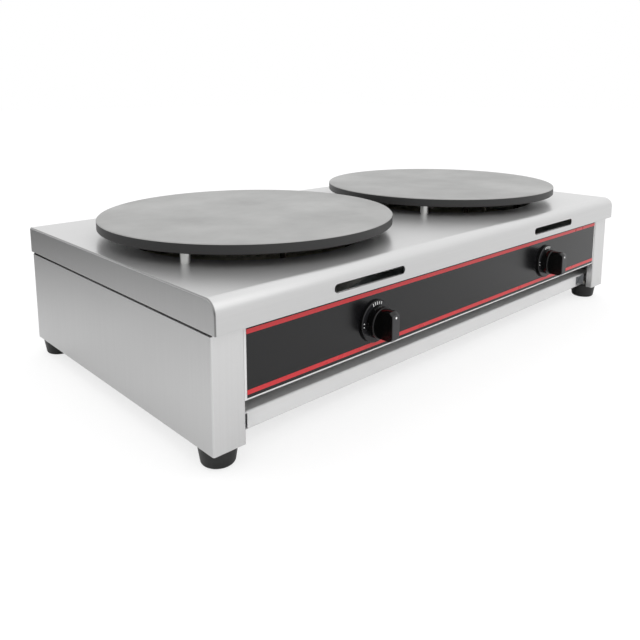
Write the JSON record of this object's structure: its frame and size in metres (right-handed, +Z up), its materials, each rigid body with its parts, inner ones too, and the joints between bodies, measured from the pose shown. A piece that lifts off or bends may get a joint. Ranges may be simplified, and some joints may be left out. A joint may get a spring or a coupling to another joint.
{
  "type": "electric crepe maker",
  "caption": "Countertop electric crepe maker: round hot plates raised side by side over a folded stainless casing, turn knobs on a dark fascia, and rubber feet.",
  "frame": {"origin": "on the table top, under the middle of the whole machine's box", "axes": "+X along the front to the right as seen from the front, +Y to the back, +Z up"},
  "size_m": [0.864, 0.506, 0.2113],
  "materials": {
    "stainless_satin": "satin, fine brushed",
    "galvanised_sheet": "matt rolled sheet",
    "film_black": "gloss printed film",
    "stripe_red": "gloss print",
    "mark_white": "print",
    "bezel_black": "satin moulding",
    "knob_black": "gloss moulding",
    "thermostat_moulding": "matt phenolic moulding",
    "turned_steel": "turned",
    "plate_iron": "machined, satin",
    "sheath_steel": "oxidised sheath",
    "clamp_steel": "matt",
    "aluminised_sheet": "dull spun sheet",
    "fibre_pad": "soft fibre",
    "bulb_metal": "drawn copper",
    "cutout_ceramic": "unglazed",
    "foot_rubber": "satin rubber",
    "zinc_fixings": "zinc plated",
    "brass_fixings": "machined",
    "gland_moulding": "matt polyamide",
    "lead_sleeve": "braided glass fibre",
    "earth_sleeve": "matt sleeve"
  },
  "bodies": {
    "casing": {"back_left_foot": "foot_rubber", "back_panel": "galvanised_sheet", "back_right_foot": "foot_rubber", "base_panel": "galvanised_sheet", "bonding_nuts": "brass_fixings", "bonding_stud": "brass_fixings", "cable_gland": "gland_moulding", "cover_fixings": "zinc_fixings", "dial_marks": "mark_white", "earth_lead": "earth_sleeve", "element_clamp_bolts": "zinc_fixings", "fascia_overlay": "film_black", "fascia_panel": "stainless_satin", "fascia_rivets": "zinc_fixings", "foot_nuts": "zinc_fixings", "foot_screws": "zinc_fixings", "front_corner_brackets": "galvanised_sheet", "front_left_foot": "foot_rubber", "front_rail": "stainless_satin", "front_right_foot": "foot_rubber", "gland_lock_nut": "gland_moulding", "left_bezel": "bezel_black", "left_element_clamp": "clamp_steel", "left_heat_shield": "aluminised_sheet", "left_heating_element": "sheath_steel", "left_hot_plate": "plate_iron", "left_insulation_pad": "fibre_pad", "left_leads": "lead_sleeve", "left_limit_cutout": "cutout_ceramic", "left_plate_legs": "turned_steel", "left_sensing_bulb": "bulb_metal", "left_side_panel": "stainless_satin", "left_thermostat": "thermostat_moulding", "overlay_stripes": "stripe_red", "panel_screws": "zinc_fixings", "plate_leg_bolts": "zinc_fixings", "plate_leg_washers": "zinc_fixings", "right_bezel": "bezel_black", "right_element_clamp": "clamp_steel", "right_heat_shield": "aluminised_sheet", "right_heating_element": "sheath_steel", "right_hot_plate": "plate_iron", "right_insulation_pad": "fibre_pad", "right_leads": "lead_sleeve", "right_limit_cutout": "cutout_ceramic", "right_plate_legs": "turned_steel", "right_sensing_bulb": "bulb_metal", "right_side_panel": "stainless_satin", "right_thermostat": "thermostat_moulding", "terminal_block": "cutout_ceramic", "terminal_screws": "brass_fixings", "thermostat_screws": "zinc_fixings", "top_cover": "stainless_satin"},
    "left_control": {"left_knob": "knob_black", "left_knob_pointer": "mark_white", "left_thermostat_shaft": "turned_steel"},
    "right_control": {"right_knob": "knob_black", "right_knob_pointer": "mark_white", "right_thermostat_shaft": "turned_steel"}
  },
  "joints": [
    {"name": "left_knob_turn", "type": "hinge", "parent": "casing", "child": "left_control", "pos_m": [-0.197, -0.2195, 0.1045], "axis": [0, 1, 0], "range_deg": [0, 270]},
    {"name": "right_knob_turn", "type": "hinge", "parent": "casing", "child": "right_control", "pos_m": [0.212, -0.2195, 0.1045], "axis": [0, 1, 0], "range_deg": [0, 270]}
  ]
}
